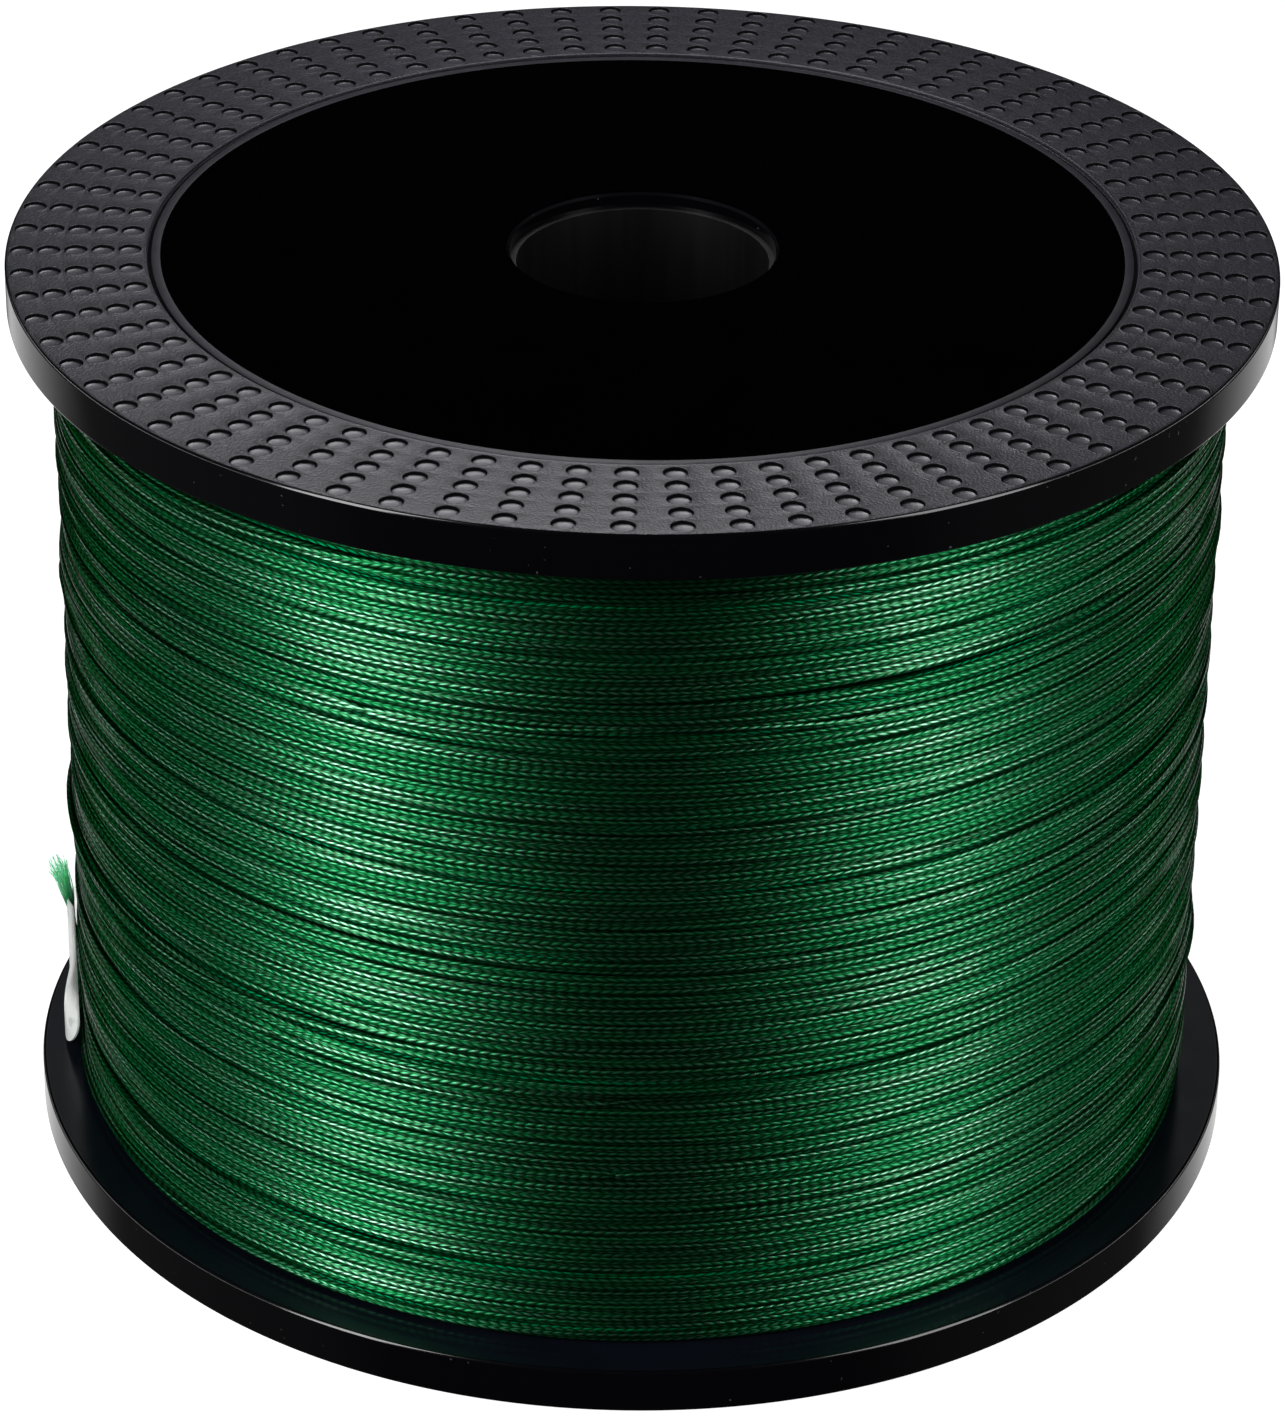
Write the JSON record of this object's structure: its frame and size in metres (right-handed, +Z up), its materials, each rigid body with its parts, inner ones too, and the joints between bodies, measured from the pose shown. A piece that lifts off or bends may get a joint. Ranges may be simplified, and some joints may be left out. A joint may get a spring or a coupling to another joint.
{
  "type": "fishing line spool",
  "caption": "Bulk spool full of braided fishing line: round dimpled flanges on a barrel with a through bore, the loose line end held by clear tape.",
  "frame": {"origin": "centre of the lower flange's outer face, on the surface that the spool stands on", "axes": "+Z up along the arbor bore, from the lower flange to the upper one; -X is the side where the line's loose end is taped down"},
  "size_m": [0.1, 0.1, 0.0767],
  "materials": {
    "flange_plastic": "moulded black plastic, glossy rim, finely grained dimpled band",
    "core_plastic": "plain black plastic tube",
    "label_stock": "bare matt black label",
    "paper_tape": "crepe paper tape",
    "line_braid": "dark green braided line with a silky sheen",
    "line_end": "loose green fibres",
    "clear_tape": "clear adhesive tape"
  },
  "bodies": {
    "root": {"upper_flange": "flange_plastic", "lower_flange": "flange_plastic", "barrel": "core_plastic", "arbor_tube": "core_plastic", "upper_label": "label_stock", "lower_label": "label_stock", "start_tape": "paper_tape", "line_core": "line_braid", "line_outer_layer": "line_braid", "line_tail": "line_end", "end_tape": "clear_tape"}
  },
  "joints": []
}
